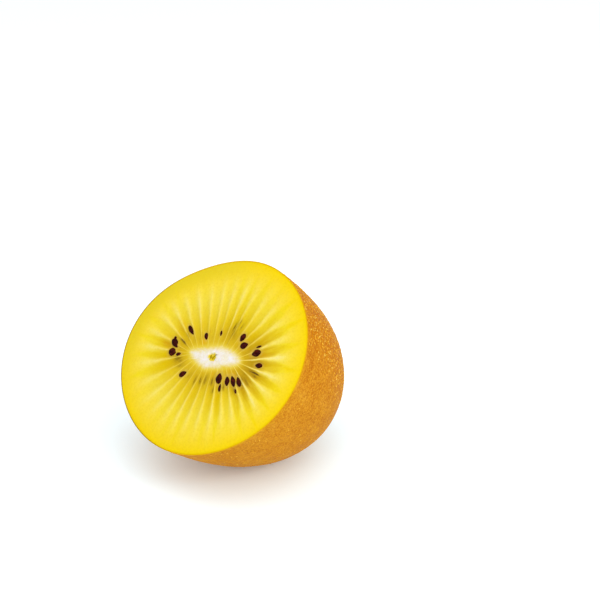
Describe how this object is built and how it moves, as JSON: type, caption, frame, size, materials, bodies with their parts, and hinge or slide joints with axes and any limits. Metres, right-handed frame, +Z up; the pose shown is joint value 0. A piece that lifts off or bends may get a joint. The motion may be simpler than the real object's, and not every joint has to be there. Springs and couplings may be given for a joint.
{
  "type": "golden kiwi fruit half",
  "caption": "Half of a golden kiwi fruit cut across its middle, lying on its thin brown skin with the yellow flesh, white core, rays and dark seeds showing.",
  "frame": {"origin": "middle of the small flat spot of skin that the half rests on", "axes": "+Z up, away from the surface it lies on; the cut face looks towards -Y and up; +X runs along the cut face, to the right when looking at the cut from -Y"},
  "size_m": [0.0556, 0.0526, 0.0533],
  "materials": {
    "flesh_and_skin": "moist yellow flesh with a white core and dark glossy seeds, inside a thin satin orange-brown skin"
  },
  "bodies": {
    "root": {"kiwi_half": "flesh_and_skin"}
  },
  "joints": []
}
